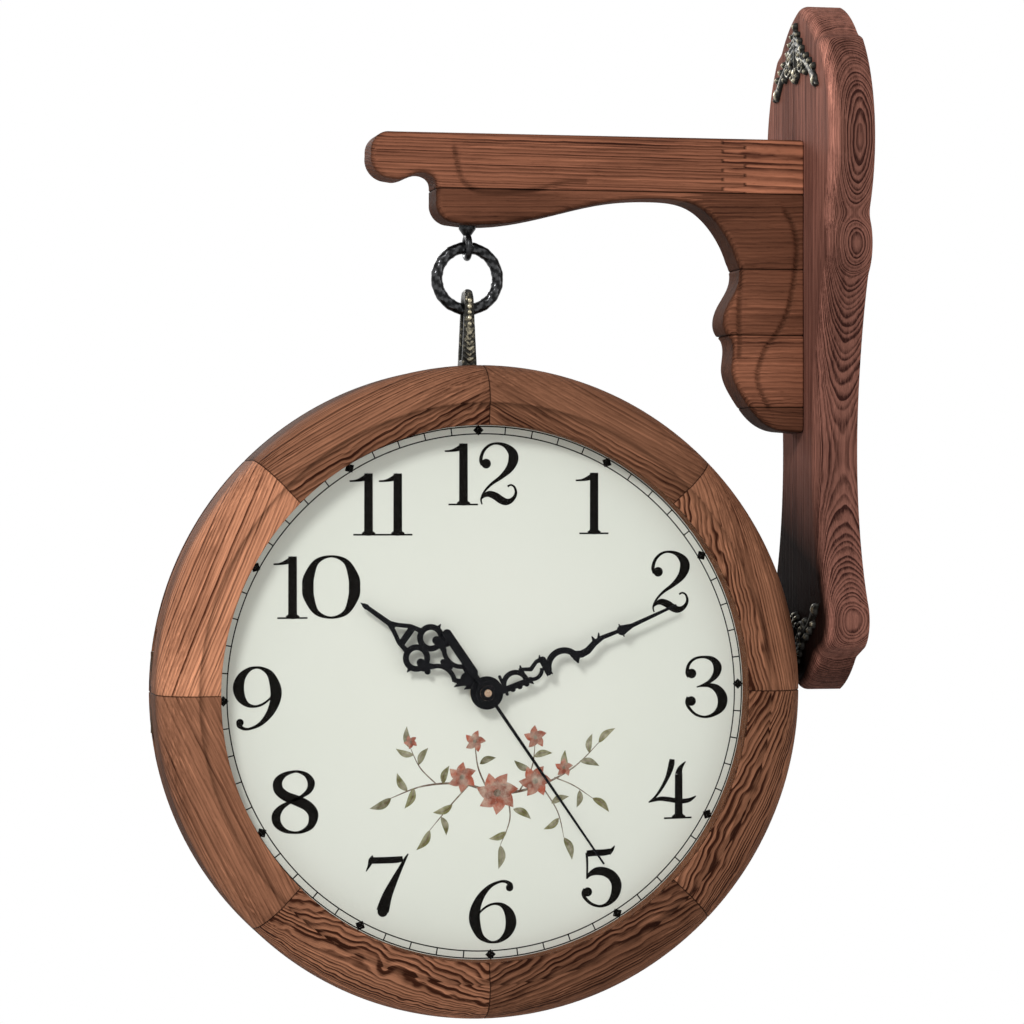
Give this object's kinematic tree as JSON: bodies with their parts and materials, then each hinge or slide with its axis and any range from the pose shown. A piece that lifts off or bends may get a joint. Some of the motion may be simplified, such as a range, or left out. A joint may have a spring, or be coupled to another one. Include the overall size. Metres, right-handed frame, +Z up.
{
  "type": "double-sided wall clock",
  "caption": "Round two-faced wall clock in a moulded wooden case, hung by a cast loop and a ring under a carved bracket arm on a waisted wall plate.",
  "frame": {"origin": "centre of the wall plate's flat back face", "axes": "+X into the wall, +Z up, Y along the wall; the two dials face -Y and +Y"},
  "size_m": [0.4372, 0.1508, 0.6332],
  "materials": {
    "plate_wood": "carbonised and brushed softwood, oiled",
    "arm_wood": "carbonised edge-glued softwood, oiled",
    "case_wood": "carbonised and brushed softwood with raised latewood, oiled",
    "antique_brass": "antiqued casting with rubbed highlights",
    "gunmetal": "dark gunmetal plating, engraved",
    "steel": "zinc plated",
    "hinge_brass": "satin",
    "glass": "clear flat glass",
    "dial": "printed pale cream paper on fibreboard",
    "movement_plastic": "moulded black",
    "battery": "plain printed can",
    "arbor_brass": "turned",
    "hand_black": "black enamel on stamped sheet, copper-coloured centre cap"
  },
  "bodies": {
    "bracket": {"wall_plate": "plate_wood", "arm_strip_1": "arm_wood", "arm_strip_2": "arm_wood", "arm_strip_3": "arm_wood", "arm_strip_4": "arm_wood", "arm_strip_5": "arm_wood", "arm_screws": "steel", "upper_ornament": "antique_brass", "lower_ornament": "antique_brass", "screw_eye": "gunmetal"},
    "ring": {"hanging_ring": "gunmetal"},
    "clock": {"hanger": "antique_brass", "front_ring": "case_wood", "hinge_front_leaf": "hinge_brass", "hinge_pin": "steel", "catch_magnet": "steel", "front_glass": "glass", "front_liner": "case_wood", "front_dial": "dial", "front_movement": "movement_plastic", "front_battery": "battery", "front_bush": "arbor_brass", "front_nut": "arbor_brass"},
    "rear_case": {"rear_ring": "case_wood", "hinge_rear_leaf": "hinge_brass", "catch_strike": "steel", "rear_glass": "glass", "rear_liner": "case_wood", "rear_dial": "dial", "rear_movement": "movement_plastic", "rear_battery": "battery", "rear_bush": "arbor_brass", "rear_nut": "arbor_brass"},
    "front_hour": {"front_hour_pipe": "arbor_brass", "front_hour_hand": "hand_black"},
    "front_minute": {"front_minute_arbor": "arbor_brass", "front_minute_hand": "hand_black"},
    "front_seconds": {"front_seconds_arbor": "arbor_brass", "front_seconds_hand": "hand_black"},
    "front_knob": {"front_setting_knob": "movement_plastic"},
    "rear_hour": {"rear_hour_pipe": "arbor_brass", "rear_hour_hand": "hand_black"},
    "rear_minute": {"rear_minute_arbor": "arbor_brass", "rear_minute_hand": "hand_black"},
    "rear_seconds": {"rear_seconds_arbor": "arbor_brass", "rear_seconds_hand": "hand_black"},
    "rear_knob": {"rear_setting_knob": "movement_plastic"}
  },
  "joints": [
    {"name": "ring_swing", "type": "hinge", "parent": "bracket", "child": "ring", "pos_m": [-0.2411, 0, 0.06036], "axis": [1, 0, 0], "range_deg": [-40, 40]},
    {"name": "clock_swing", "type": "hinge", "parent": "ring", "child": "clock", "pos_m": [-0.2411, 0, 0.02196], "axis": [1, 0, 0], "range_deg": [-25, 25]},
    {"name": "case_hinge", "type": "hinge", "parent": "clock", "child": "rear_case", "pos_m": [-0.4343, 0.014, -0.21494], "axis": [0, 0, 1], "range_deg": [0, 100]},
    {"name": "front_minute_turn", "type": "hinge", "parent": "clock", "child": "front_minute", "pos_m": [-0.2356, 0, -0.21494], "axis": [0, 1, 0], "continuous": true},
    {"name": "front_hour_turn", "type": "hinge", "parent": "clock", "child": "front_hour", "pos_m": [-0.2356, 0, -0.21494], "axis": [0, 1, 0], "continuous": true},
    {"name": "front_seconds_turn", "type": "hinge", "parent": "clock", "child": "front_seconds", "pos_m": [-0.2356, 0, -0.21494], "axis": [0, 1, 0], "continuous": true},
    {"name": "front_knob_turn", "type": "hinge", "parent": "clock", "child": "front_knob", "pos_m": [-0.22048, 0, -0.2015], "axis": [0, 1, 0], "continuous": true},
    {"name": "rear_minute_turn", "type": "hinge", "parent": "rear_case", "child": "rear_minute", "pos_m": [-0.2356, 0, -0.21494], "axis": [0, -1, 0], "continuous": true},
    {"name": "rear_hour_turn", "type": "hinge", "parent": "rear_case", "child": "rear_hour", "pos_m": [-0.2356, 0, -0.21494], "axis": [0, -1, 0], "continuous": true},
    {"name": "rear_seconds_turn", "type": "hinge", "parent": "rear_case", "child": "rear_seconds", "pos_m": [-0.2356, 0, -0.21494], "axis": [0, -1, 0], "continuous": true},
    {"name": "rear_knob_turn", "type": "hinge", "parent": "rear_case", "child": "rear_knob", "pos_m": [-0.25072, 0, -0.2015], "axis": [0, -1, 0], "continuous": true}
  ],
  "couplings": [
    {"joint": "front_hour_turn", "follows": "front_minute_turn", "ratio": 0.083333},
    {"joint": "front_knob_turn", "follows": "front_minute_turn", "ratio": -0.33333},
    {"joint": "rear_hour_turn", "follows": "rear_minute_turn", "ratio": 0.083333},
    {"joint": "rear_knob_turn", "follows": "rear_minute_turn", "ratio": -0.33333}
  ]
}
